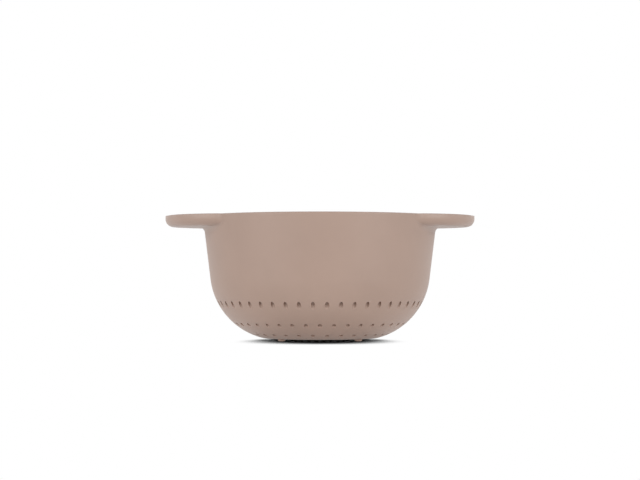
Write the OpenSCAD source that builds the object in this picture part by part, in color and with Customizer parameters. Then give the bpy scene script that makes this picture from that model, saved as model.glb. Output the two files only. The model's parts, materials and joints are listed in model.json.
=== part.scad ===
// Kitchen colander: a deep round bowl with a rounded lip, drained by rings of
// upright holes, with a flat crescent handle on each side level with the rim
// and four small pads under the base.
// The origin is on the surface that it stands on, under the centre of the base.
// X runs through both handles, the front is towards -Y and Z is up.

/* [Bowl] */
// Outer diameter at the rim
rim_d = 240.5; // [200:0.5:300]
// Height of the rim above the surface that the colander stands on
bowl_h = 127.5; // [115:0.5:160]
// Thickness of the wall and of the base
wall_t = 3; // [2:0.1:4]
// Lean of the straight upper wall away from upright, in degrees
wall_lean = 7; // [4:0.5:10]
// Radius of the big curve that turns the wall into the base
turn_r = 71; // [60:0.5:80]
// Diameter of the moulding gate's recess in the middle of the underside
gate_d = 10; // [6:0.5:16]
// Depth of the gate's recess
gate_depth = 0.8; // [0.4:0.1:1.2]

/* [Drain holes] */
// Diameter of one drain hole
hole_d = 4; // [2.5:0.1:5]
// Number of rings of holes
ring_count = 6; // [3:1:6]
// Radius of the innermost ring
first_ring_r = 21.5; // [18:0.5:24]
// Distance from each ring to the next
ring_pitch = 16.5; // [14:0.1:17]
// Holes in the innermost ring, and how many more each further ring has
ring_step = 8; // [6:1:8]

/* [Handles] */
// Width of the colander from the tip of one handle to the tip of the other
overall_w = 317.5; // [310:0.5:330]
// Radius of each handle's round outline, seen from above
handle_r = 72; // [68:0.5:76]
// Thickness of each handle
handle_t = 11.7; // [11:0.1:16]
// Rounding of the handle's lower edge
lower_edge_r = 8; // [4:0.5:8.5]
// Rounding of the handle's upper edge
upper_edge_r = 0.6; // [0.4:0.1:2]
// Hollow curve in the outline where the handle runs into the rim
shoulder_r = 16; // [8:1:24]
// Hollow curve between the handle's underside and the bowl's wall
armpit_r = 7; // [2:0.5:8]

/* [Tongues inside the handles] */
// Thickness of the stiff tongue that each handle is moulded over
tongue_t = 4; // [3:0.5:5]
// Cover of soft material between the tongue's outline and the handle's
tongue_cover = 9; // [7:0.5:12]
// Diameter of the locking holes that the soft material fills, as a share of the
// tongue's reach beyond the rim
lock_d_share = 0.27; // [0.15:0.01:0.35]
// Angle between neighbouring locking holes, seen from the bowl's centre, as a
// share of the tongue's half angle there
lock_angle_share = 0.7; // [0.5:0.05:0.75]

/* [Feet] */
// Height of the feet below the base
foot_h = 2; // [2:0.1:3]
// Diameter of each foot's pad
foot_d = 8; // [7:0.1:8.4]
// Rounding of the pad's lower edge
foot_edge_r = 1.8; // [0.6:0.1:1.9]
// Diameter of the barb that holds the foot from inside the bowl
barb_d = 5.6; // [5.2:0.1:6.5]
// Height of the barb
barb_h = 1.2; // [0.8:0.1:2]

/* [Hidden] */
$fn = 96;
overrun = 1;
// How far a blend cuts into what it leads to, so that the two truly cross
blend_sink = 0.05;
shell_colour = [0.69, 0.60, 0.55];
soft_colour = [0.68, 0.59, 0.54];

// The lip is half a circle on the wall's middle line.
rim_r = rim_d / 2;
lip_r = wall_t / 2;
lip_x = rim_r - lip_r;
lip_z = bowl_h - lip_r;

// The big curve would just reach the ground, but the flat base cuts it off.
base_z = foot_h;
turn_z = turn_r;
turn_x = wall_x(turn_z - turn_r * sin(wall_lean)) - turn_r * cos(wall_lean);

// Each handle's outline is an arc about its own upright axis, which lies inside
// the bowl, and two hollow shoulders that touch both the arc and the rim. The
// centre of a shoulder is as far from the two axes as its own radius asks.
handle_x = overall_w / 2 - handle_r;
handle_z = bowl_h - handle_t;
shoulder_reach = wall_x(bowl_h) + shoulder_r;
shoulder_span = handle_r + shoulder_r;
shoulder_x = (pow(shoulder_reach, 2) - pow(shoulder_span, 2) + pow(handle_x, 2)) / (2 * handle_x);
shoulder_at = [shoulder_x, sqrt(pow(shoulder_reach, 2) - pow(shoulder_x, 2))];

// Each tongue is a smaller disc about the same axis. Its locking holes lie
// halfway out, on a ring about the bowl's axis that crosses the disc's outline
// at its half angle.
tongue_r = handle_r - tongue_cover;
tongue_z = handle_z + (handle_t - tongue_t) / 2;
tongue_reach = handle_x + tongue_r - wall_x(bowl_h);
lock_d = tongue_reach * lock_d_share;
lock_ring_r = wall_x(bowl_h) + tongue_reach / 2;
lock_angle = lock_angle_share
    * acos((pow(lock_ring_r, 2) + pow(handle_x, 2) - pow(tongue_r, 2)) / (2 * lock_ring_r * handle_x));

// The feet plug holes of the third ring, halfway between front and sides.
foot_count = 4;
foot_ring_r = ring_r(3);
foot_step = 360 / foot_count;
foot_turn = foot_step / 2;

// Distance of the outer wall's straight part from the axis at height z,
// less the depth when given
function wall_x(z, depth = 0) =
    lip_x + (z - lip_z) * tan(wall_lean) + (lip_r - depth) / cos(wall_lean);

function ring_r(k) = first_ring_r + (k - 1) * ring_pitch;

function polar(r, a) = [r * cos(a), r * sin(a)];

function foot_spot(i) = polar(foot_ring_r, foot_turn + i * foot_step);

// Sets its children upright over this spot
module at(spot, z = 0) {
    translate([spot[0], spot[1], z]) children();
}

// Half section of everything inside the surface that lies this deep within
// the outer one, up to the rim and this much above it
module inside_section(depth, above = 0) {
    r = turn_r - depth;
    floor_z = base_z + depth;
    knee_x = turn_x + r * cos(wall_lean);
    knee_z = turn_z - r * sin(wall_lean);
    top_z = bowl_h + above;
    polygon([[0, knee_z], [knee_x, knee_z], [wall_x(top_z, depth), top_z], [0, top_z]]);
    intersection() {
        translate([turn_x, turn_z]) circle(r);
        translate([turn_x, floor_z]) square([r, knee_z - floor_z]);
    }
    translate([0, floor_z]) square([turn_x, knee_z - floor_z]);
}

module inside(depth, above = 0) {
    rotate_extrude() inside_section(depth, above);
}

module shell() {
    rotate_extrude() {
        difference() {
            inside_section(0, overrun);
            inside_section(wall_t, 2 * overrun);
            translate([lip_x, lip_z]) rotate(-wall_lean)
                translate([-wall_t, 0]) square([2 * wall_t, wall_t + overrun]);
        }
        translate([lip_x, lip_z]) circle(lip_r);
    }
}

// Quarter disc below and to the right of its centre
module corner(r) {
    intersection() {
        circle(r);
        translate([0, -r]) square(r);
    }
}

// Section of a slab this wide and this high from x = 0, with its lower
// right-hand corner rounded
module rounded_section(width, height, r) {
    square([width - r, r]);
    translate([width - r, r]) corner(r);
    translate([0, r]) square([width, height - r]);
}

module handle_section() {
    rounded_section(handle_r, handle_t - upper_edge_r, lower_edge_r);
    translate([0, handle_t]) mirror([0, 1])
        rounded_section(handle_r, handle_t - lower_edge_r, upper_edge_r);
}

module crown() {
    translate([handle_x, 0, handle_z]) rotate_extrude() handle_section();
}

// Hollow curve that leads the rim into the crown's outline on the rear side:
// the stretch of a ring about the hollow's centre between rim and crown
module shoulder() {
    intersection() {
        translate([0, 0, handle_z]) linear_extrude(handle_t)
            polygon([[0, 0], [handle_x, 0], shoulder_at]);
        at(shoulder_at, handle_z) rotate_extrude()
            translate([shoulder_r + blend_sink + handle_r, 0]) mirror([1, 0]) handle_section();
    }
}

// Hollow curve under the handle along the bowl's wall, tapered away before
// the handle's lower edge starts to rise
module armpit() {
    centre_z = handle_z - armpit_r;
    centre_x = wall_x(centre_z) + armpit_r / cos(wall_lean);
    flat_r = handle_r - lower_edge_r;
    seat = armpit_r + lip_r;
    intersection() {
        rotate_extrude() difference() {
            polygon([[centre_x, centre_z],
                     [centre_x, handle_z + overrun],
                     [wall_x(handle_z, lip_r), handle_z + overrun],
                     [centre_x - seat * cos(wall_lean), centre_z + seat * sin(wall_lean)]]);
            translate([centre_x, centre_z]) circle(armpit_r);
        }
        translate([handle_x, 0, centre_z])
            cylinder(r1 = flat_r - armpit_r, r2 = flat_r + overrun, h = armpit_r + overrun);
    }
}

// Stiff tongue that stands out from the wall inside a handle
module tongue() {
    difference() {
        translate([handle_x, 0, tongue_z]) cylinder(r = tongue_r, h = tongue_t);
        inside(lip_r, overrun);
        for (i = [-1:1])
            at(polar(lock_ring_r, i * lock_angle), tongue_z - overrun)
                cylinder(d = lock_d, h = tongue_t + 2 * overrun);
    }
}

module drain_holes() {
    for (k = [1:ring_count]) {
        count = k * ring_step;
        start = k % 2 == 0 ? 180 / count : 0;
        for (i = [0:count - 1]) {
            spot = polar(ring_r(k), start + i * 360 / count - 90);
            if (!under_foot(spot)) at(spot) cylinder(d = hole_d, h = turn_z);
        }
    }
}

// True where a drain hole would meet a foot's pad
function under_foot(spot) =
    min([for (i = [1:foot_count]) norm(spot - foot_spot(i))]) < (foot_d + hole_d) / 2;

module bowl() {
    color(shell_colour) difference() {
        union() {
            shell();
            tongue();
            mirror([1, 0, 0]) tongue();
        }
        drain_holes();
        for (i = [1:foot_count]) at(foot_spot(i)) cylinder(d = hole_d, h = turn_z);
        translate([0, 0, base_z - overrun]) cylinder(d = gate_d, h = gate_depth + overrun);
    }
}

module handle() {
    color(soft_colour) difference() {
        union() {
            crown();
            shoulder();
            mirror([0, 1, 0]) shoulder();
            armpit();
        }
        inside(0, overrun);
        tongue();
    }
}

module left_handle() {
    mirror([1, 0, 0]) handle();
}

module right_handle() {
    handle();
}

// Pad with a stem that fills a hole in the base, and a barb inside the bowl
module foot(i) {
    color(soft_colour) at(foot_spot(i)) {
        rotate_extrude() rounded_section(foot_d / 2, foot_h, foot_edge_r);
        cylinder(d = hole_d, h = base_z + wall_t + barb_h);
        translate([0, 0, base_z + wall_t]) cylinder(d1 = barb_d, d2 = hole_d, h = barb_h);
    }
}

module front_left_foot() {
    foot(2);
}

module front_right_foot() {
    foot(3);
}

module rear_left_foot() {
    foot(1);
}

module rear_right_foot() {
    foot(0);
}

bowl();
left_handle();
right_handle();
front_left_foot();
front_right_foot();
rear_left_foot();
rear_right_foot();
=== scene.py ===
# %% [markdown]
# # A moulded colander, dressed for a photograph
# The construction comes from the imported frame: a round bowl with rings of drain
# holes, two flat crescent handles level with the rim, and four small pad feet.
# This lesson adds what the frame doesn't have: the softened edge of every hole,
# the blend of each handle into the wall, the satin finish of moulded plastic,
# a white studio, and a camera just below the rim.

# %% Load the frame, and a way to read its boxes
import json
import math

import bpy
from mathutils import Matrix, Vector


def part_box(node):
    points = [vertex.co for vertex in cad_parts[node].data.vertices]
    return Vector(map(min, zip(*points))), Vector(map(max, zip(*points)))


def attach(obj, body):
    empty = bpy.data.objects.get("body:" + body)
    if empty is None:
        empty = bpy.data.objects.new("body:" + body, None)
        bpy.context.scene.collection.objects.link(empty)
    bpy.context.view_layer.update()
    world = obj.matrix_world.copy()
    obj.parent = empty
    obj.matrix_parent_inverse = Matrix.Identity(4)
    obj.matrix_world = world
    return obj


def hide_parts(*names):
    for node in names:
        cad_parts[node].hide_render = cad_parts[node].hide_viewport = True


MM = 0.001
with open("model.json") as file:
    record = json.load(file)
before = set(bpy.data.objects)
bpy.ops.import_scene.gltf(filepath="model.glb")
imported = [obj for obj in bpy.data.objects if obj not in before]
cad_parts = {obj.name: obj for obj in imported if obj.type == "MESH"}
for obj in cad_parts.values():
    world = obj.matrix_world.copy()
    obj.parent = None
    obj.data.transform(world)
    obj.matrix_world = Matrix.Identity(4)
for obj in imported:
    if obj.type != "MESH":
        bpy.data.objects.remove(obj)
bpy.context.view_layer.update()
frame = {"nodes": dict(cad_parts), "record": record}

# %% [markdown]
# ## The camera
# The photograph was taken almost level, from well below the rim, so that the rim
# and the handles show edge on and no inside of the bowl is seen. The distance
# decides how much the rim's front edge bows up against the ends of the handles,
# and a long lens from about 1.8 m gives the bow that the photograph has.

# %% Place the camera
SENSOR_WIDTH_MM = 36
FRAME_WIDTH_PX = 640
FOCAL_PX = 1720
HORIZON_BELOW_MIDDLE_PX = 36.5
EYE_HEIGHT = 65 * MM
EYE_DISTANCE = 1.77

camera_data = bpy.data.cameras.new("photo_camera")
camera_data.sensor_width = SENSOR_WIDTH_MM
camera_data.lens = SENSOR_WIDTH_MM * FOCAL_PX / FRAME_WIDTH_PX
camera = bpy.data.objects.new("photo_camera", camera_data)
camera.location = (0, -EYE_DISTANCE, EYE_HEIGHT)
camera.rotation_euler = (math.radians(90) + math.atan(HORIZON_BELOW_MIDDLE_PX / FOCAL_PX), 0, 0)
bpy.context.scene.collection.objects.link(camera)
bpy.context.scene.camera = camera
print("lens in mm:", round(camera_data.lens, 1))

# %% [markdown]
# ## Sizes
# A moulding is easiest to draw in the mould maker's own millimetres. The outer
# sizes are read from the frame's boxes. The wall, its lean and its curve can't be
# read from a box, so they are repeated here. Everything below is worked out from
# these, so the skins drawn here lie where the frame's solids are.

# %% Sizes of the moulding, in millimetres
BOX_DIGITS = 2


def frame_size(metres):
    """A size of the frame in millimetres, without the last digits of its mesh."""
    return round(metres / MM, BOX_DIGITS)


bowl_low, bowl_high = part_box("bowl")
RIM_R = frame_size(bowl_high.y)
BOWL_H = frame_size(bowl_high.z)
BASE_Z = frame_size(bowl_low.z)
WALL_T = 3.0
WALL_LEAN = math.radians(7)
TURN_R = 71.0
LIP_R = WALL_T / 2
LIP_X = RIM_R - LIP_R
LIP_Z = BOWL_H - LIP_R


def wall_x(z, depth=0.0):
    """Radius of the straight wall at height z, on the skin this deep in it."""
    return LIP_X + (z - LIP_Z) * math.tan(WALL_LEAN) + (LIP_R - depth) / math.cos(WALL_LEAN)


TURN_X = wall_x(TURN_R - TURN_R * math.sin(WALL_LEAN)) - TURN_R * math.cos(WALL_LEAN)
print("rim radius", RIM_R, "mm, height", BOWL_H, "mm")
print("the big curve turns about a ring of radius", round(TURN_X, 2), "mm")

# %% [markdown]
# ## A skin that knows its own normals
# Blender can guess how a mesh should be smoothed, but around a hole in a curved
# wall the guess shows as dents in the highlights. Every surface here has a
# formula, so each point is stored with its true normal, and points at the same
# place are shared, which closes the mesh by itself.

# %% Collect points, normals and faces
SHARED_DIGITS = 4


class Skin:
    """A mesh in the making, in millimetres. It turns each face to its normals, if asked."""

    def __init__(self, turn_faces=True):
        self.turn_faces = turn_faces
        self.points = []
        self.normals = []
        self.faces = []
        self.known = {}

    def point(self, spot, normal):
        """The number of the point here, which is new unless the spot is known."""
        key = tuple(round(c, SHARED_DIGITS) for c in spot)
        if key not in self.known:
            self.known[key] = len(self.points)
            self.points.append(Vector(spot))
            self.normals.append(Vector(normal).normalized())
        return self.known[key]

    def face(self, *corners):
        """A face on these points, unless so many are shared that none is left."""
        corners = list(dict.fromkeys(corners))
        if len(corners) < 3:
            return
        a, b, c = (self.points[i] for i in corners[:3])
        outward = sum((self.normals[i] for i in corners), Vector())
        if self.turn_faces and (b - a).cross(c - a).dot(outward) < 0:
            corners.reverse()
        self.faces.append(corners)

    def bridge(self, first, second):
        """Faces between two rings of points, which may differ in number."""
        first = first + first[:1]
        second = second + second[:1]
        i = j = 0
        m, n = len(first) - 1, len(second) - 1
        while i < m or j < n:
            if m == n:
                self.face(first[i], first[i + 1], second[j + 1], second[j])
                i, j = i + 1, j + 1
            elif j == n or (i < m and (i + 1) * n <= (j + 1) * m):
                self.face(first[i], first[i + 1], second[j])
                i += 1
            else:
                self.face(first[i], second[j + 1], second[j])
                j += 1

    def make(self, name):
        """The finished piece, in metres and with the stored normals."""
        mesh = bpy.data.meshes.new(name)
        mesh.from_pydata([p * MM for p in self.points], [], self.faces)
        mesh.shade_smooth()
        mesh.normals_split_custom_set_from_vertices([tuple(n) for n in self.normals])
        piece = bpy.data.objects.new(name, mesh)
        bpy.context.scene.collection.objects.link(piece)
        print(name, "has", len(mesh.polygons), "faces")
        return piece


print("points that agree to", SHARED_DIGITS, "digits of a millimetre are shared")

# %% [markdown]
# ## The drained floor
# On the real bowl upright pins in the mould make the holes, and they stay
# upright all the way up the curved wall, so from the front a hole in the wall
# is a long slot and from above every hole is round. Cutting 168 holes with a
# modifier would leave ragged slivers. It is cleaner to lay out the floor as a
# flat plan, one four-sided cell to each hole, and to lift the plan onto the
# outer and the inner skin.

# %% Lift a plan onto the shell
def lift(x, y, depth):
    """The point of the skin this deep in the shell over a point of the plan."""
    radius = math.hypot(x, y)
    big_r = TURN_R - depth
    floor_z = BASE_Z + depth
    side = 1 if depth else -1
    crease = TURN_X + math.sqrt(big_r ** 2 - (TURN_R - floor_z) ** 2)
    if radius <= crease:
        return (x, y, floor_z), (0, 0, side)
    across = radius - TURN_X
    down = math.sqrt(big_r ** 2 - across ** 2)
    flat = -side * across / big_r / radius
    return (x, y, TURN_R - down), (flat * x, flat * y, side * down / big_r)


FRONT = -math.pi / 2


def turns_round(count):
    """Evenly spaced directions about the bowl's axis, from the front to the right."""
    return [FRONT + math.tau * i / count for i in range(count)]


def loop(skin, radius, count, depth):
    """A ring of points on the skin about the bowl's axis."""
    spots = [(radius * math.cos(t), radius * math.sin(t)) for t in turns_round(count)]
    return [skin.point(*lift(x, y, depth)) for x, y in spots]


print("halfway up the curve lies", [round(c, 1) for c in lift(TURN_X + TURN_R / 2, 0, 0.0)[0]])

# %% [markdown]
# Each hole's edge is drawn back by the same small length on both of its faces,
# with a smooth curve between. Where the wall is steep that leaves the lower end
# of the slot soft and the upper end crisp, as it is on the real bowl.

# %% Make one drain hole and its cell
HOLE_R = 2.0
HOLE_EDGE = 0.4
HOLE_SIDES = 24
EDGE_STEPS = 3
SIDE_STEPS = HOLE_SIDES // 4
CELL_HALF = 4.0
# A cell's first corner lies back towards the axis and before the middle.
FIRST_CORNER = math.radians(225)


def cell_border(ring_r, middle, half_turn):
    """Plan points round one cell, from its inner corner before the middle."""
    steps = [-1 + 2 * i / SIDE_STEPS for i in range(SIDE_STEPS)]
    near, far = ring_r - CELL_HALF, ring_r + CELL_HALF
    turns = [(near, middle + half_turn * s) for s in steps]
    turns += [(ring_r + CELL_HALF * s, middle + half_turn) for s in steps]
    turns += [(far, middle - half_turn * s) for s in steps]
    turns += [(ring_r - CELL_HALF * s, middle - half_turn) for s in steps]
    return [(r * math.cos(t), r * math.sin(t)) for r, t in turns]


def hole_edge(skin, spot, turn, depth):
    """Points of one skin from the plain surface round the edge into the hole."""
    out_x, out_y = math.cos(turn), math.sin(turn)
    rim, _ = lift(spot[0] + HOLE_R * out_x, spot[1] + HOLE_R * out_y, depth)
    ahead, _ = lift(rim[0] + HOLE_EDGE * out_x, rim[1] + HOLE_EDGE * out_y, depth)
    back = HOLE_EDGE / math.hypot(1, (ahead[2] - rim[2]) / HOLE_EDGE)
    start, plain = lift(rim[0] + back * out_x, rim[1] + back * out_y, depth)
    into = -HOLE_EDGE if depth else HOLE_EDGE
    ends = (Vector(start), Vector(rim), Vector(rim) + Vector((0, 0, into)))
    row = []
    for step in range(EDGE_STEPS + 1):
        u = step / EDGE_STEPS
        spot_here = ends[0] * (1 - u) ** 2 + ends[1] * 2 * u * (1 - u) + ends[2] * u ** 2
        normal = Vector(plain) * (1 - u) + Vector((-out_x, -out_y, 0)) * u
        row.append(skin.point(spot_here, normal))
    return row


def drain_hole(skin, ring_r, middle, half_turn):
    """One cell on both skins, with the upright hole that joins them."""
    spot = (ring_r * math.cos(middle), ring_r * math.sin(middle))
    border = cell_border(ring_r, middle, half_turn)
    turns = [middle + FIRST_CORNER - math.tau * i / HOLE_SIDES for i in range(HOLE_SIDES)]
    ends = []
    for depth in (0.0, WALL_T):
        edge = [hole_edge(skin, spot, t, depth) for t in turns]
        inner = [skin.points[row[0]] for row in edge]
        between = [lift((p.x + x) / 2, (p.y + y) / 2, depth) for p, (x, y) in zip(inner, border)]
        rows = [[skin.point(*lift(x, y, depth)) for x, y in border]]
        rows.append([skin.point(*lifted) for lifted in between])
        rows += [list(row) for row in zip(*edge)]
        for first, second in zip(rows, rows[1:]):
            skin.bridge(first, second)
        ends.append(rows[-1])
    skin.bridge(*ends)


print("each hole is drawn with", HOLE_SIDES, "sides and an edge of", HOLE_EDGE, "mm")

# %% [markdown]
# Each ring has eight holes more than the one inside it, so the holes stay about
# as far apart all over the floor, and every second ring starts half a step
# round. The feet's four holes are drawn like all others, because the feet's own
# solids, which come with the frame, fill them.

# %% Lay out the rings of holes
RING_COUNT = 6
FIRST_RING_R = 21.5
RING_PITCH = 16.5
RING_STEP = 8
HALF_A_PITCH = 0.5
ring_radii = [FIRST_RING_R + RING_PITCH * k for k in range(RING_COUNT)]
bowl_skin = Skin()
hole_total = 0
for k, ring_r in enumerate(ring_radii, start=1):
    count = RING_STEP * k
    start = HALF_A_PITCH if k % 2 == 0 else 0.0
    for i in range(count):
        drain_hole(bowl_skin, ring_r, FRONT + math.tau * (i + start) / count, math.pi / count)
    hole_total += count
print(hole_total, "holes in the floor, four of them for the feet")

# %% [markdown]
# Between two rings of cells lies a plain strip. Its outer edge has more points
# than its inner one, so the bridge between them takes in some triangles. They
# lie flat in the skin and have true normals, so they don't show.

# %% Join the rings with plain strips
STRIP_STEPS = 3
for depth in (0.0, WALL_T):
    for k, ring_r in enumerate(ring_radii[:-1], start=1):
        near, far = ring_r + CELL_HALF, ring_r + RING_PITCH - CELL_HALF
        row = loop(bowl_skin, near, RING_STEP * SIDE_STEPS * k, depth)
        for step in range(1, STRIP_STEPS + 1):
            radius = near + (far - near) * step / STRIP_STEPS
            following = loop(bowl_skin, radius, RING_STEP * SIDE_STEPS * (k + 1), depth)
            bowl_skin.bridge(row, following)
            row = following
print("the floor has", len(bowl_skin.faces), "faces so far")

# %% [markdown]
# The middle of the underside keeps the small round recess where the plastic ran
# into the mould, and the middle of the floor inside is plain.

# %% Close the middle of the floor
GATE_R = 5.0
GATE_DEPTH = 0.8
GATE_EDGE = 0.2


def lathe(skin, profile, count):
    """Rings of points for a profile of (radius, height, normal out, normal up)."""
    rows = []
    for radius, z, out, up in profile:
        rows.append([skin.point((radius * math.cos(t), radius * math.sin(t), z),
                                (out * math.cos(t), out * math.sin(t), up)) for t in turns_round(count)])
    for first, second in zip(rows, rows[1:]):
        skin.bridge(first, second)
    return rows


MIDDLE_SIDES = RING_STEP * SIDE_STEPS
MIDDLE_R = FIRST_RING_R - CELL_HALF
gate_top = BASE_Z + GATE_DEPTH
underside = [(MIDDLE_R, BASE_Z, 0, -1),
             (GATE_R + GATE_EDGE, BASE_Z, 0, -1),
             (GATE_R, BASE_Z + GATE_EDGE, -1, 0),
             (GATE_R, gate_top - GATE_EDGE, -1, 0),
             (GATE_R - GATE_EDGE, gate_top, 0, -1),
             (GATE_R / 2, gate_top, 0, -1)]
inside = [(MIDDLE_R, BASE_Z + WALL_T, 0, 1), (GATE_R, BASE_Z + WALL_T, 0, 1)]
for profile, up in ((underside, -1), (inside, 1)):
    rows = lathe(bowl_skin, profile, MIDDLE_SIDES)
    tip = bowl_skin.point((0, 0, profile[-1][1]), (0, 0, up))
    for a, b in zip(rows[-1], rows[-1][1:] + rows[-1][:1]):
        bowl_skin.face(a, b, tip)
print("the gate's recess is", 2 * GATE_R, "mm wide and", GATE_DEPTH, "mm deep")

# %% [markdown]
# ## The wall and the rounded lip
# Above the last ring of holes the bowl is a plain turned shape: the rest of the
# big curve, a straight wall that leans outwards so that the bowl leaves its
# mould, and a lip rounded in half a circle. One profile is carried round the
# axis, from the last ring outside over the lip to the last ring inside.

# %% Turn the wall
WALL_STEPS = 5
LIP_STEPS = 12
CURVE_STEP = math.radians(2.5)


def big_curve(depth):
    """Profile of the big curve from the last ring of cells up to the wall."""
    big_r = TURN_R - depth
    side = 1 if depth else -1
    low = math.asin((ring_radii[-1] + CELL_HALF - TURN_X) / big_r)
    high = math.pi / 2 - WALL_LEAN
    steps = math.ceil((high - low) / CURVE_STEP)
    rows = []
    for i in range(steps + 1):
        a = low + (high - low) * i / steps
        rows.append((TURN_X + big_r * math.sin(a), TURN_R - big_r * math.cos(a),
                     -side * math.sin(a), side * math.cos(a)))
    return rows


lip_rows = []
for i in range(LIP_STEPS + 1):
    a = -WALL_LEAN + math.pi * i / LIP_STEPS
    out, up = math.cos(a), math.sin(a)
    lip_rows.append((LIP_X + LIP_R * out, LIP_Z + LIP_R * up, out, up))


def straight(low, high):
    """Rows between two ends of a straight stretch, without the ends."""
    rows = []
    for i in range(1, WALL_STEPS):
        radius, z = (a + (b - a) * i / WALL_STEPS for a, b in zip(low[:2], high[:2]))
        rows.append((radius, z, *low[2:]))
    return rows


outer_curve = big_curve(0.0)
inner_curve = big_curve(WALL_T)[::-1]
wall_profile = outer_curve + straight(outer_curve[-1], lip_rows[0]) + lip_rows
wall_profile += straight(lip_rows[-1], inner_curve[0]) + inner_curve
lathe(bowl_skin, wall_profile, RING_STEP * SIDE_STEPS * RING_COUNT)
bowl_shell = bowl_skin.make("bowl_shell")
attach(bowl_shell, "root")
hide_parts("bowl")

# %% [markdown]
# ## The handles
# Seen from above each handle is a crescent: a round crown about an axis inside
# the bowl, led into the rim by a hollow shoulder at each end. Seen from the end
# it is a slab with a large rounding below and a small one above, and under it a
# hollow curve runs into the wall. The slab is drawn as sections that all point
# at the bowl's axis, because then both its outline and the wall are easy to find.

# %% Sizes of a handle, in millimetres
TIP_X = frame_size(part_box("right_handle")[1].x)
HANDLE_R = 72.0
HANDLE_T = 11.7
LOWER_EDGE_R = 8.0
UPPER_EDGE_R = 0.6
SHOULDER_R = 16.0
ARMPIT_R = 7.0
HANDLE_Z = BOWL_H - HANDLE_T
crown_at = Vector((TIP_X - HANDLE_R, 0))
shoulder_reach = wall_x(BOWL_H) + SHOULDER_R
shoulder_x = shoulder_reach ** 2 - (HANDLE_R + SHOULDER_R) ** 2 + crown_at.x ** 2
shoulder_x /= 2 * crown_at.x
shoulder_at = Vector((shoulder_x, math.sqrt(shoulder_reach ** 2 - shoulder_x ** 2)))
crown_end = math.atan2(shoulder_at.y, shoulder_at.x - crown_at.x)
horn_turn = math.atan2(shoulder_at.y, shoulder_at.x)
print("a handle reaches", round(math.degrees(horn_turn), 1), "degrees to each side of its tip")

# %% [markdown]
# Every section asks where a line from the bowl's axis leaves the handle: on the
# round crown, on a hollow shoulder or, beyond the horns, on the wall itself. The
# same question with an inset gives the lines on which the rounded edges begin.

# %% Find the outline, moved inwards by an inset
def outline(turn, inset):
    """Where a line from the bowl's axis crosses the outline, and the normal there."""
    ray = Vector((math.cos(turn), math.sin(turn)))
    if abs(turn) >= horn_turn:
        return wall_x(BOWL_H) - inset, ray
    along = crown_at.dot(ray)
    reach = along + math.sqrt((HANDLE_R - inset) ** 2 - crown_at.length_squared + along ** 2)
    normal = (ray * reach - crown_at).normalized()
    if abs(math.atan2(normal.y, normal.x)) <= crown_end:
        return reach, normal
    hollow = Vector((shoulder_at.x, math.copysign(shoulder_at.y, turn)))
    along = hollow.dot(ray)
    reach = along - math.sqrt((SHOULDER_R + inset) ** 2 - hollow.length_squared + along ** 2)
    return reach, (hollow - ray * reach).normalized()


def inset_at(turn, radius):
    """How far inside the outline a point lies."""
    if abs(turn) >= horn_turn:
        return wall_x(BOWL_H) - radius
    spot = Vector((math.cos(turn), math.sin(turn))) * radius
    from_crown = spot - crown_at
    if abs(math.atan2(from_crown.y, from_crown.x)) <= crown_end:
        return HANDLE_R - from_crown.length
    hollow = Vector((shoulder_at.x, math.copysign(shoulder_at.y, turn)))
    return (spot - hollow).length - SHOULDER_R


print("the tip lies", round(outline(0.0, 0.0)[0], 2), "mm from the bowl's axis")

# %% [markdown]
# Under the handle a ball of the hollow's radius is rolled up the wall until it
# touches the underside. Where it touches, the hollow begins. Near the horns the
# ball meets the rounded edge first, so the hollow fades out by itself.

# %% Roll a ball up the wall
SINK = 0.05
SEARCH_STEPS = 40
BALL_ROUNDS = 4


def underside_z(inset):
    """Height of the handle's lower surface this far inside its outline."""
    if inset >= LOWER_EDGE_R:
        return HANDLE_Z
    return HANDLE_Z + LOWER_EDGE_R - math.sqrt(LOWER_EDGE_R ** 2 - (LOWER_EDGE_R - inset) ** 2)


def rest_ball(turn):
    """Centre of the ball, and the radius at which it touches the underside."""
    edge, _ = outline(turn, 0)
    ball_z = HANDLE_Z - ARMPIT_R
    for _ in range(BALL_ROUNDS):
        ball_x = wall_x(ball_z) + (ARMPIT_R - SINK) / math.cos(WALL_LEAN)
        low, high = ball_x - ARMPIT_R, min(edge, ball_x + ARMPIT_R)

        def clearance(radius):
            rise = math.sqrt(max(0, ARMPIT_R ** 2 - (radius - ball_x) ** 2))
            return underside_z(inset_at(turn, radius)) - rise

        for _ in range(SEARCH_STEPS):
            third = (high - low) / 3
            if clearance(low + third) < clearance(high - third):
                high -= third
            else:
                low += third
        ball_z = clearance(low)
    return ball_x, ball_z, low


print("behind the tip the ball touches at a radius of", round(rest_ball(0.0)[2], 1), "mm")

# %% [markdown]
# Towards its horns the handle gets thinner and thinner against the bowl. There
# every point is drawn down onto the wall and the round of the lip, until the
# handle has sunk just below their skin. So it runs out without a step, as it does
# on the real bowl.

# %% Let the horns run out
FADE_BEFORE = math.radians(5)
FADE_BEYOND = math.radians(2.5)
FADE_START = horn_turn - FADE_BEFORE
FADE_END = horn_turn + FADE_BEYOND
FADE_SINK = 0.08
UP_WALL = Vector((math.sin(WALL_LEAN), math.cos(WALL_LEAN)))
OUT_OF_WALL = Vector((math.cos(WALL_LEAN), -math.sin(WALL_LEAN)))
LIP_MIDDLE = Vector((LIP_X, LIP_Z))


def onto_bowl(radius, z):
    """The nearest spot just under the bowl's skin, and the way out of the skin."""
    offset = Vector((radius, z)) - LIP_MIDDLE
    climb = min(0, offset.dot(UP_WALL))
    out = OUT_OF_WALL if climb < 0 else offset.normalized()
    return LIP_MIDDLE + UP_WALL * climb + out * (LIP_R - FADE_SINK), out


def fade_at(turn):
    """How much of the handle is left at this turn, in a soft step from one to nothing."""
    share = min(1, max(0, (FADE_END - abs(turn)) / (FADE_END - FADE_START)))
    return share * share * (3 - 2 * share)


print("at the start of a shoulder", round(fade_at(horn_turn), 2), "of the handle is left")

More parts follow.
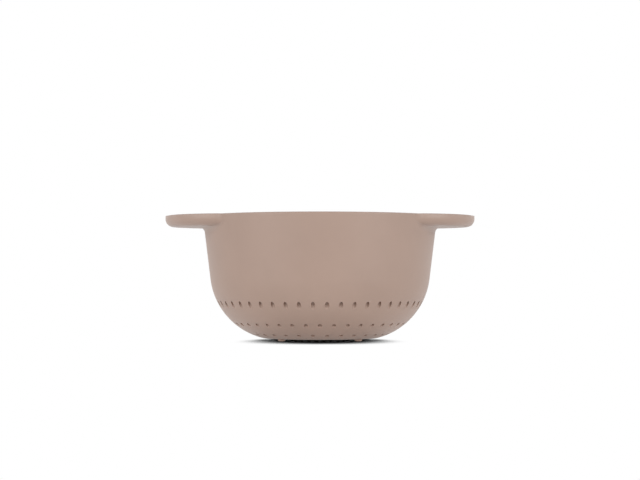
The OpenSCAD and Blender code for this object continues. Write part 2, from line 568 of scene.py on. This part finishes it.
# %% [markdown]
# The points of a section are evenly spaced along the surface, over the flat part
# and round the edge alike. So no face is much longer than its neighbour, and the
# highlight along the rounding stays even.

# %% Walk along a flat surface and its rounded edge
def rounded_walk(reach, radius, count):
    """Insets and bends from a depth of reach out to the edge, evenly along the surface."""
    bend = math.pi / 2 if reach >= radius else math.acos((radius - reach) / radius)
    flat = max(0, reach - radius)
    total = flat + radius * bend
    steps = []
    for i in range(count + 1):
        gone = total * i / count
        if gone < flat:
            steps.append((reach - gone, math.pi / 2))
        else:
            turned = bend - (gone - flat) / radius
            steps.append((radius * (1 - math.cos(turned)), turned))
    return steps


print("insets of a short walk:", [round(i, 1) for i, _ in rounded_walk(2 * LOWER_EDGE_R, LOWER_EDGE_R, 4)])

# %% [markdown]
# A section starts at the wall under the handle and goes round the hollow, along
# the underside, up the outer edge and back over the top to the lip. A fine seam
# is left there, because a soft moulding never quite closes against a stiff one.

# %% Draw one section
HOLLOW_STEPS = 8
UNDER_STEPS = 26
TOP_STEPS = 9
SEAM_R = 120.0
SEAM_EDGE = 0.39
SEAM_DROP_SHARE = 0.25
SEAM_TILT = 0.2
HIDDEN_DEPTH = 0.4


def section(skin, turn):
    """One ring of points round the handle in the plane at this turn."""
    ray = Vector((math.cos(turn), math.sin(turn)))
    row = []
    left = fade_at(turn)

    def add(radius, z, plan_normal, up):
        """A point that is drawn down onto the bowl as far as the handle fades here."""
        spot, out = onto_bowl(radius, z)
        spot = spot.lerp(Vector((radius, z)), left)
        bare = Vector((*(ray * out.x), out.y))
        normal = bare.lerp(Vector((*plan_normal, up)).normalized(), left)
        row.append(skin.point((*(ray * spot.x), spot.y), normal))

    ball_x, ball_z, touch = rest_ball(turn)
    touch_inset = inset_at(turn, touch)
    reached = math.atan2(underside_z(touch_inset) - ball_z, touch - ball_x)
    against_wall = math.pi - WALL_LEAN
    for i in range(HOLLOW_STEPS):
        a = against_wall + (reached - against_wall) * i / HOLLOW_STEPS
        add(ball_x + ARMPIT_R * math.cos(a), ball_z + ARMPIT_R * math.sin(a),
            ray * -math.cos(a), -math.sin(a))
    for inset, bend in rounded_walk(touch_inset, LOWER_EDGE_R, UNDER_STEPS):
        radius, normal = outline(turn, inset)
        add(radius, underside_z(inset), normal * math.cos(bend), -math.sin(bend))
    seam_inset = inset_at(turn, SEAM_R)
    for inset, bend in rounded_walk(seam_inset, UPPER_EDGE_R, TOP_STEPS)[::-1]:
        radius, normal = outline(turn, inset)
        upper_z = BOWL_H - UPPER_EDGE_R * (1 - math.sin(bend))
        add(radius, upper_z, normal * math.cos(bend), math.sin(bend))
    top_z = skin.points[row[-1]].z
    seam_z = LIP_Z + math.sqrt(LIP_R ** 2 - (SEAM_R - SEAM_EDGE - LIP_X) ** 2)
    add(SEAM_R - SEAM_EDGE / 2, top_z + (seam_z - top_z) * SEAM_DROP_SHARE, -ray, 1)
    add(SEAM_R - SEAM_EDGE, seam_z, -ray, SEAM_TILT)
    for z in (LIP_Z, ball_z + ARMPIT_R * math.sin(against_wall)):
        row.append(skin.point((*(ray * (wall_x(z) - HIDDEN_DEPTH)), z), (*-ray, 0)))
    return row


print("the section at the tip has", len(section(Skin(), 0.0)), "points")

# %% [markdown]
# Sections stand at even steps along the crown and along each hollow shoulder,
# and a few more carry each horn out to where it has sunk into the bowl. The left
# grip is the right one mirrored, as the real pair is.

# %% Loft the two grips
CROWN_STATIONS = 96
SHOULDER_STATIONS = 16
HORN_STATIONS = 4


def station_turns():
    """Directions of the sections, from the front horn to the rear one."""
    turns = [FADE_END + (horn_turn - FADE_END) * i / HORN_STATIONS for i in range(HORN_STATIONS)]
    start = math.atan2(-shoulder_at.y, -shoulder_at.x)
    end = math.atan2(-shoulder_at.y, crown_at.x - shoulder_at.x)
    for i in range(SHOULDER_STATIONS):
        a = start + (end - start) * i / SHOULDER_STATIONS
        spot = shoulder_at + SHOULDER_R * Vector((math.cos(a), math.sin(a)))
        turns.append(math.atan2(spot.y, spot.x))
    for i in range(CROWN_STATIONS // 2):
        a = crown_end * (1 - 2 * i / CROWN_STATIONS)
        spot = crown_at + HANDLE_R * Vector((math.cos(a), math.sin(a)))
        turns.append(math.atan2(spot.y, spot.x))
    return [-t for t in turns] + [0.0] + turns[::-1]


def make_grip(name, node, side):
    """The grip that stands for this node, drawn for the right and mirrored for the left."""
    # The sections all run the same way round, so no face needs turning.
    skin = Skin(turn_faces=False)
    rows = [section(skin, turn) for turn in station_turns()]
    for first, second in zip(rows, rows[1:]):
        skin.bridge(second, first)
    skin.faces += [rows[0], rows[-1][::-1]]
    if side < 0:
        skin.points = [Vector((-p.x, p.y, p.z)) for p in skin.points]
        skin.normals = [Vector((-n.x, n.y, n.z)) for n in skin.normals]
        skin.faces = [face[::-1] for face in skin.faces]
    grip = skin.make(name)
    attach(grip, "root")
    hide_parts(node)
    return grip


left_grip = make_grip("left_grip", "left_handle", -1)
right_grip = make_grip("right_grip", "right_handle", 1)

# %% [markdown]
# ## The finish of moulded plastic
# Bowl, handles and feet are all moulded in one dusty taupe. What tells them apart
# is the skin. The bowl is a stiff plastic with a satin face; the handles and feet
# are softer and duller. Painting these differences on as pictures would need a
# flat layout of every piece, so they are worked out in space instead, from the
# place of each point on the object. Effects that all pieces share are built once
# as groups, and each material gives them its own values.

# %% Helpers for shader nodes and groups
def add_node(tree, kind, inputs=None, **settings):
    """Add a node, with its settings and with a value or a link for each named input."""
    node = tree.nodes.new(kind)
    for setting, value in settings.items():
        setattr(node, setting, value)
    for label, value in (inputs or {}).items():
        if isinstance(value, bpy.types.NodeSocket):
            tree.links.new(value, node.inputs[label])
        else:
            node.inputs[label].default_value = value
    return node


def add_math(tree, operation, *values):
    """Add a calculation and return its result."""
    return add_node(tree, "ShaderNodeMath", dict(enumerate(values)), operation=operation).outputs[0]


def start_group(name, inputs, outputs):
    """Start a shader group with these named sockets, and return it with its inputs."""
    group = bpy.data.node_groups.new(name, "ShaderNodeTree")
    for label, kind, value in inputs:
        socket = group.interface.new_socket(name=label, in_out="INPUT", socket_type=kind)
        socket.default_value = value
    for label, kind in outputs:
        group.interface.new_socket(name=label, in_out="OUTPUT", socket_type=kind)
    return group, group.nodes.new("NodeGroupInput").outputs


def end_group(group, results):
    """Connect the group's named outputs."""
    add_node(group, "NodeGroupOutput", results)
    print("group", group.name, "puts out", list(results))


NUMBER = "NodeSocketFloat"
COLOUR = "NodeSocketColor"
# What a group's colour input shows until a material gives it one
BARE_PLASTIC = (0.4, 0.3, 0.2, 1)
print("group inputs are kept as", NUMBER, "and", COLOUR)

# %% [markdown]
# ### Moulded grain
# The steel of the mould is spark-eroded, which leaves a fine grain of shallow
# pits on the plastic, and the plastic shrinks a little unevenly as it cools,
# which leaves very low ripples. Both are heights, so both drive one Bump node,
# and the pits also make the shine a little uneven.

# %% Group: moulded grain
PIT_SHARE = 0.6


def build_moulded_grain():
    inputs = [("Pit Size", NUMBER, 0.9), ("Ripple Size", NUMBER, 18.0), ("Ripple Share", NUMBER, 0.5)]
    group, given = start_group("moulded_grain", inputs, [("Height", NUMBER), ("Pits", NUMBER)])
    where = add_node(group, "ShaderNodeTexCoord").outputs["Object"]
    pit_scale = add_math(group, "DIVIDE", 1 / MM, given["Pit Size"])
    ripple_scale = add_math(group, "DIVIDE", 1 / MM, given["Ripple Size"])
    pits = add_node(group, "ShaderNodeTexVoronoi", {"Vector": where, "Scale": pit_scale, "Smoothness": 0.6},
                    feature="SMOOTH_F1").outputs["Distance"]
    dust = add_node(group, "ShaderNodeTexNoise", {"Vector": where, "Scale": pit_scale, "Detail": 2.0})
    ripple = add_node(group, "ShaderNodeTexNoise", {"Vector": where, "Scale": ripple_scale, "Detail": 1.0})
    dust_part = add_math(group, "MULTIPLY", dust.outputs["Fac"], 1 - PIT_SHARE)
    grain = add_math(group, "MULTIPLY_ADD", pits, PIT_SHARE, dust_part)
    height = add_node(group, "ShaderNodeMix", {"Factor": given["Ripple Share"], "A": grain,
                                               "B": ripple.outputs["Fac"]}, data_type="FLOAT")
    end_group(group, {"Height": height.outputs["Result"], "Pits": grain})
    return group


moulded_grain = build_moulded_grain()

# %% [markdown]
# ### Colour drift
# Coloured granules never mix quite evenly, so the plastic drifts a little
# between lighter and darker over a few centimetres, and a few fine pale specks
# of unmixed filler show close up.

# %% Group: colour drift
CLOUDS_PER_METRE = 22.0
SPECK_CELLS_PER_METRE = 420.0


def build_colour_drift():
    inputs = [("Colour", COLOUR, BARE_PLASTIC), ("Drift", NUMBER, 0.05), ("Specks", NUMBER, 0.05)]
    group, given = start_group("colour_drift", inputs, [("Colour", COLOUR)])
    where = add_node(group, "ShaderNodeTexCoord").outputs["Object"]
    cloud = add_node(group, "ShaderNodeTexNoise", {"Vector": where, "Scale": CLOUDS_PER_METRE,
                                                   "Detail": 3.0})
    cell = add_node(group, "ShaderNodeTexVoronoi", {"Vector": where, "Scale": SPECK_CELLS_PER_METRE})
    speck = add_node(group, "ShaderNodeMapRange", {"Value": cell.outputs["Distance"], "From Min": 0.16,
                                                   "From Max": 0.06})
    # The cloud lies between nothing and one, and its swing about the middle is doubled.
    from_middle = add_math(group, "SUBTRACT", cloud.outputs["Fac"], 0.5)
    swing = add_math(group, "MULTIPLY", from_middle, given["Drift"])
    cloudy = add_math(group, "MULTIPLY_ADD", swing, 2.0, 1.0)
    level = add_math(group, "MULTIPLY_ADD", speck.outputs["Result"], given["Specks"], cloudy)
    mixed = add_node(group, "ShaderNodeHueSaturation", {"Color": given["Colour"], "Value": level})
    end_group(group, {"Colour": mixed.outputs["Color"]})
    return group


colour_drift = build_colour_drift()

# %% [markdown]
# ### Handling wear
# Hands, cloths and stacking rub a kitchen piece where it stands proud: the lip,
# the handles' edges, the rims of the holes. Blender's Pointiness tells how far
# the surface bulges at a point, and patchy noise breaks the worn line up.

# %% Group: handling wear
PATCHES_PER_METRE = 60.0
# Two sets of scratches: each is turned this far and stretched by this share.
SCRATCH_SETS = ((0.5, 0.05), (2.1, 0.07))


def build_handling_wear():
    inputs = [("Edge Start", NUMBER, 0.51), ("Edge Full", NUMBER, 0.56), ("Scratch Size", NUMBER, 1.0)]
    group, given = start_group("handling_wear", inputs, [("Edges", NUMBER), ("Scratches", NUMBER)])
    where = add_node(group, "ShaderNodeTexCoord").outputs["Object"]
    bulge = add_node(group, "ShaderNodeNewGeometry").outputs["Pointiness"]
    proud = add_node(group, "ShaderNodeMapRange", {"Value": bulge, "From Min": given["Edge Start"],
                                                   "From Max": given["Edge Full"]}).outputs["Result"]
    noise = add_node(group, "ShaderNodeTexNoise", {"Vector": where, "Scale": PATCHES_PER_METRE,
                                                   "Detail": 4.0})
    patch = add_node(group, "ShaderNodeMapRange", {"Value": noise.outputs["Fac"], "From Min": 0.35,
                                                   "From Max": 0.65})
    edges = add_math(group, "MULTIPLY", proud, patch.outputs["Result"])
    scale = add_math(group, "DIVIDE", 1 / MM, given["Scratch Size"])
    lines = []
    for turn, stretch in SCRATCH_SETS:
        across = add_node(group, "ShaderNodeMapping", {"Vector": where, "Rotation": (0.3, 0.2, turn),
                                                       "Scale": (1.0, stretch, 1.0)}).outputs["Vector"]
        noise = add_node(group, "ShaderNodeTexNoise", {"Vector": across, "Scale": scale, "Detail": 1.0})
        lines.append(add_node(group, "ShaderNodeMapRange", {"Value": noise.outputs["Fac"], "From Min": 0.66,
                                                            "From Max": 0.74}).outputs["Result"])
    scratches = add_math(group, "MAXIMUM", *lines)
    end_group(group, {"Edges": edges, "Scratches": scratches})
    return group


handling_wear = build_handling_wear()

# %% [markdown]
# ### Painted shade in recesses
# The colour is darkened as painted shade where little light reaches: down in the
# drain holes, in the gate's recess and a little in the hollow under each handle.
# Short rays from each point find such places: the more of them that hit the same
# piece close by, the deeper the point lies and the darker and more saturated its colour.

# %% Group: painted recess shade
RECESS_SAMPLES = 8


def build_painted_recess_shade():
    inputs = [("Colour", COLOUR, BARE_PLASTIC), ("Painted Shade", NUMBER, 0.5), ("Depth", NUMBER, 0.004)]
    group, given = start_group("painted_recess_shade", inputs, [("Colour", COLOUR)])
    # Painted shade: the colour is darkened where short rays hit the same piece close by.
    open_share = add_node(group, "ShaderNodeAmbientOcclusion", {"Distance": given["Depth"]},
                          samples=RECESS_SAMPLES, only_local=True).outputs["AO"]
    recess = add_math(group, "SUBTRACT", 1.0, open_share)
    deepening = add_math(group, "MULTIPLY_ADD", recess, given["Painted Shade"], 1.0)
    shaded_colour = add_node(group, "ShaderNodeGamma", {"Color": given["Colour"], "Gamma": deepening})
    end_group(group, {"Colour": shaded_colour.outputs["Color"]})
    return group


painted_recess_shade = build_painted_recess_shade()

# %% [markdown]
# ### The three materials
# Each material takes the drifting colour, darkens it with painted shade in
# recesses, lightens it where it is worn, and adds pits and scratches to its
# roughness. Worn plastic is polished, so there it gets smoother as well as
# lighter. Soft plastic also has a faint velvet bloom at grazing angles.

# %% Mix the materials
TAUPE = (0.412, 0.291, 0.236)
# How strongly recesses are darkened by painted shade
RECESS_SHADE = 0.5
WORN_SATURATION = 0.85
WORN_VALUE = 1.16
WORN_POLISH = 0.12
PIT_SPREAD = 0.16
PIT_OFFSET = 0.07
SCRATCH_SPREAD = 0.08


def moulded_plastic(name, roughness, bloom, pit_depth, grain, drift, wear):
    """A moulded plastic; grain, drift and wear hold the values for three of the groups."""
    material = bpy.data.materials.new(name)
    material.use_nodes = True
    tree = material.node_tree
    shader = tree.nodes["Principled BSDF"]
    skin = add_node(tree, "ShaderNodeGroup", node_tree=moulded_grain)
    tint = add_node(tree, "ShaderNodeGroup", node_tree=colour_drift)
    worn = add_node(tree, "ShaderNodeGroup", node_tree=handling_wear)
    # Painted shade in recesses: darker colour where the piece closes in on itself.
    shade_group = add_node(tree, "ShaderNodeGroup", node_tree=painted_recess_shade)
    for node, values in ((skin, grain), (tint, drift), (worn, wear)):
        for label, value in values.items():
            node.inputs[label].default_value = value
    shade_group.inputs["Painted Shade"].default_value = RECESS_SHADE
    tint.inputs["Colour"].default_value = (*TAUPE, 1)
    tree.links.new(tint.outputs["Colour"], shade_group.inputs["Colour"])
    light = add_node(tree, "ShaderNodeHueSaturation", {"Color": shade_group.outputs["Colour"],
                                                       "Saturation": WORN_SATURATION, "Value": WORN_VALUE,
                                                       "Fac": worn.outputs["Edges"]})
    pitted = add_math(tree, "MULTIPLY_ADD", skin.outputs["Pits"], PIT_SPREAD, roughness - PIT_OFFSET)
    smoother = add_math(tree, "MULTIPLY_ADD", worn.outputs["Edges"], -WORN_POLISH, pitted)
    rough = add_math(tree, "MULTIPLY_ADD", worn.outputs["Scratches"], SCRATCH_SPREAD, smoother)
    bump = add_node(tree, "ShaderNodeBump", {"Height": skin.outputs["Height"], "Distance": pit_depth * MM})
    tree.links.new(light.outputs["Color"], shader.inputs["Base Color"])
    tree.links.new(rough, shader.inputs["Roughness"])
    tree.links.new(bump.outputs["Normal"], shader.inputs["Normal"])
    shader.inputs["Sheen Weight"].default_value = bloom
    print("material", name)
    return material


satin_shell = moulded_plastic("satin_shell", roughness=0.42, bloom=0.0, pit_depth=0.02,
                              grain={"Pit Size": 0.9, "Ripple Size": 20.0, "Ripple Share": 0.5},
                              drift={"Drift": 0.06, "Specks": 0.05},
                              wear={"Edge Start": 0.51, "Edge Full": 0.56, "Scratch Size": 1.2})
soft_grip = moulded_plastic("soft_grip", roughness=0.4, bloom=0.02, pit_depth=0.03,
                            grain={"Pit Size": 0.7, "Ripple Size": 12.0, "Ripple Share": 0.3},
                            drift={"Drift": 0.05, "Specks": 0.03},
                            wear={"Edge Start": 0.51, "Edge Full": 0.58, "Scratch Size": 1.6})
pad_foot = moulded_plastic("pad_foot", roughness=0.6, bloom=0.05, pit_depth=0.03,
                           grain={"Pit Size": 0.6, "Ripple Size": 6.0, "Ripple Share": 0.2},
                           drift={"Drift": 0.08, "Specks": 0.04},
                           wear={"Edge Start": 0.52, "Edge Full": 0.6, "Scratch Size": 0.8})

# %% [markdown]
# ### Who wears which finish
# The record says which finish each node of the frame has. The feet are shown by
# the frame's own solids. The solids that the drawn skins stand for are hidden,
# but they get their finish too, so that nothing in the model is bare.

# %% Give every piece and every carried-over node its material
finish_of_slot = {"shell": satin_shell, "grip": soft_grip, "foot": pad_foot}
slot_of_node = {part["node"]: part["material_slot"] for part in frame["record"]["subparts"]}
for name, node in frame["nodes"].items():
    node.data.materials.clear()
    node.data.materials.append(finish_of_slot[slot_of_node[name]])
bowl_shell.data.materials.append(satin_shell)
for grip in (left_grip, right_grip):
    grip.data.materials.append(soft_grip)
print("finished", len(frame["nodes"]), "nodes and 3 pieces")

# %% [markdown]
# ## The studio
# The bowl stands on a white table in an evenly lit white room. Both have two
# faces. To the plastic's own colour they send a soft, plain light. To the camera,
# to mirrors and to glass they show pure white, as a retouched backdrop does. The
# Light Path node tells which kind of ray asks.

# %% Tell the rays apart
def sent_on(tree):
    """One for a ray that a shiny or clear surface has sent on, and nothing for others."""
    path = add_node(tree, "ShaderNodeLightPath").outputs
    return add_math(tree, "MAXIMUM", path["Is Glossy Ray"], path["Is Transmission Ray"])


def from_camera(tree):
    """One for a ray straight from the camera."""
    return add_node(tree, "ShaderNodeLightPath").outputs["Is Camera Ray"]


# %% Lay the table
TABLE_SIZE = 40
bpy.ops.mesh.primitive_plane_add(size=TABLE_SIZE)
table = bpy.context.object
table.name = "white_table"
table_paint = bpy.data.materials.new("white_table")
table_paint.use_nodes = True
table.data.materials.append(table_paint)
tree = table_paint.node_tree
tree.nodes.clear()
print("the table is", TABLE_SIZE, "m wide")

# %% [markdown]
# ### The contact shadow
# A pure white table would show no shadow, so the shadow is worked out from
# openness: the share of the space over a spot that nothing stands in. In the
# photograph the dark band lies under the bowl and in front of it, and hardly
# shows at its sides. Openness is therefore measured towards the rear, where only
# spots under and in front of the bowl have it close by. Shiny surfaces see the
# shadow at half its depth, because its full mirror image darkens the lower wall
# too much.

# %% Work out the contact shadow
SHADOW_REACH = 0.09
SHADOW_DARK = 0.37
SHADOW_CLEAR = 0.6
SHADOW_SAMPLES = 64
SHADOW_FACING = (0, 1.0, 0.35)
MIRRORED_FADE = 0.5
towards_rear = add_node(tree, "ShaderNodeNormal").outputs["Normal"]
towards_rear.default_value = SHADOW_FACING
openness = add_node(tree, "ShaderNodeAmbientOcclusion", {"Distance": SHADOW_REACH, "Normal": towards_rear},
                    samples=SHADOW_SAMPLES)
shadow = add_node(tree, "ShaderNodeMapRange", {"Value": openness.outputs["AO"], "From Min": SHADOW_DARK,
                                               "From Max": SHADOW_CLEAR}, interpolation_type="SMOOTHSTEP")
fade = add_math(tree, "MULTIPLY", sent_on(tree), MIRRORED_FADE)
shown_white = add_node(tree, "ShaderNodeMix", {"Factor": fade, "A": shadow.outputs["Result"], "B": 1.0},
                       data_type="FLOAT")
print("the shadow reaches", round(SHADOW_REACH / MM), "mm from what casts it")

# %% [markdown]
# ### The table's two faces
# For the light that reaches the plastic the table is a matt white board with a
# faint glow, as of a light table, so the underside of the curve stays soft. From
# below the table is clear, so that the underside can be looked at.

# %% Paint the table
TABLE_WHITE = 0.75
TABLE_GLOW = 0.22
backdrop = add_node(tree, "ShaderNodeEmission", {"Strength": shown_white.outputs["Result"]})
board = add_node(tree, "ShaderNodeBsdfDiffuse", {"Color": (TABLE_WHITE, TABLE_WHITE, TABLE_WHITE, 1)})
glow = add_node(tree, "ShaderNodeEmission", {"Strength": TABLE_GLOW})
lit = add_node(tree, "ShaderNodeAddShader", {0: board.outputs[0], 1: glow.outputs[0]})
shown = add_math(tree, "MAXIMUM", from_camera(tree), sent_on(tree))
table_top = add_node(tree, "ShaderNodeMixShader", {0: shown, 1: lit.outputs[0], 2: backdrop.outputs[0]})
clear = add_node(tree, "ShaderNodeBsdfTransparent")
below = add_node(tree, "ShaderNodeNewGeometry").outputs["Backfacing"]
unseen = add_math(tree, "MULTIPLY", below, from_camera(tree))
table_face = add_node(tree, "ShaderNodeMixShader", {0: unseen, 1: table_top.outputs[0], 2: clear.outputs[0]})
add_node(tree, "ShaderNodeOutputMaterial", {"Surface": table_face.outputs[0]})
print("the table's paint has", len(tree.nodes), "nodes")

# %% [markdown]
# ### The room
# The world lights the plastic evenly from all round. It lights at a lower level
# than it shows, so that the room looks white and the taupe still comes out as it
# is written.

# %% Light the room
ROOM_GLOW = 0.5
ROOM_WHITE = 1.0
world = bpy.data.worlds.new("studio")
bpy.context.scene.world = world
world.use_nodes = True
tree = world.node_tree
shown = add_math(tree, "MAXIMUM", from_camera(tree), sent_on(tree))
level = add_node(tree, "ShaderNodeMix", {"Factor": shown, "A": ROOM_GLOW, "B": ROOM_WHITE},
                 data_type="FLOAT")
tree.links.new(level.outputs["Result"], tree.nodes["Background"].inputs["Strength"])
tree.nodes["Background"].inputs["Color"].default_value = (1, 1, 1, 1)
print("the room glows at", ROOM_GLOW, "and looks", ROOM_WHITE)

# %% [markdown]
# ### Softboxes
# Two large softboxes stand a little in front of the sides and lift the walls
# towards the outline, and two weak ones light the rear for views from there.

# %% Set up the softboxes
AIM_HEIGHT = 0.07
SOFTBOX_DISTANCE = 1.8


def softbox(name, azimuth, elevation, width, watts):
    """A square softbox this many degrees round from the front and above the table."""
    a, e = math.radians(azimuth), math.radians(elevation)
    data = bpy.data.lights.new(name, "AREA")
    data.shape = "RECTANGLE"
    data.size, data.size_y = width, width
    data.energy = watts
    box = bpy.data.objects.new(name, data)
    aim = Vector((0, 0, AIM_HEIGHT))
    way_out = Vector((math.sin(a) * math.cos(e), -math.cos(a) * math.cos(e), math.sin(e)))
    box.location = aim + SOFTBOX_DISTANCE * way_out
    box.rotation_euler = (-way_out).to_track_quat("-Z", "Y").to_euler()
    bpy.context.scene.collection.objects.link(box)
    print(name, "gives", watts, "W")


softbox("left_softbox", azimuth=-48, elevation=12, width=1.2, watts=12.0)
softbox("right_softbox", azimuth=48, elevation=12, width=1.2, watts=12.0)
softbox("rear_left_softbox", azimuth=-135, elevation=25, width=1.0, watts=1.2)
softbox("rear_right_softbox", azimuth=135, elevation=25, width=1.0, watts=1.2)

# %% [markdown]
# ## How colours are shown
# Colours are shown as they are written, without a film look.

# %% Show colours as they are written
bpy.context.scene.view_settings.view_transform = "Standard"
